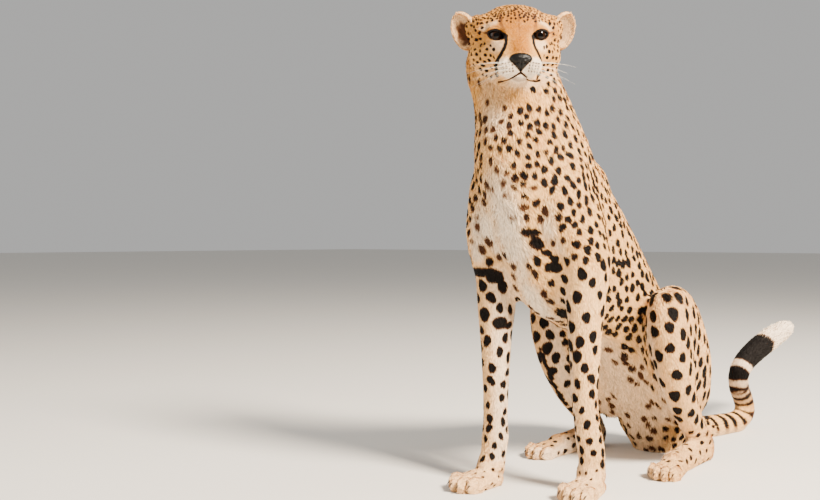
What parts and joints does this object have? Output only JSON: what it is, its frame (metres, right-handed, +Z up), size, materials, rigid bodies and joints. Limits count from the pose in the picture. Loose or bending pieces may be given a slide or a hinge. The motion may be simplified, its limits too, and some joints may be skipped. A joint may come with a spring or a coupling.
{
  "type": "cheetah model",
  "caption": "Life-size still model of a cheetah sitting upright on its haunches, head turned to its left, tail laid back on the floor and curled up at the end.",
  "frame": {"origin": "centre of the bounding box at floor level", "axes": "+Z up, the animal's body faces -Y with its tail along +Y, and its left side is +X"},
  "size_m": [0.3402, 1.1818, 0.8571],
  "materials": {
    "coat": "short cream and tawny fur with solid black-brown spots, white on chest and belly",
    "nose_leather": "bare black nose leather, slightly moist",
    "eye": "dark amber-brown glossy eye, as a taxidermist's eye"
  },
  "bodies": {
    "root": {"head": "coat", "neck": "coat", "trunk": "coat", "tail": "coat", "fore_leg_left": "coat", "fore_leg_right": "coat", "fore_paw_left": "coat", "fore_paw_right": "coat", "haunch_left": "coat", "haunch_right": "coat", "hind_foot_left": "coat", "hind_foot_right": "coat", "ear_left": "coat", "ear_right": "coat", "nose": "nose_leather", "eye_left": "eye", "eye_right": "eye"}
  },
  "joints": []
}
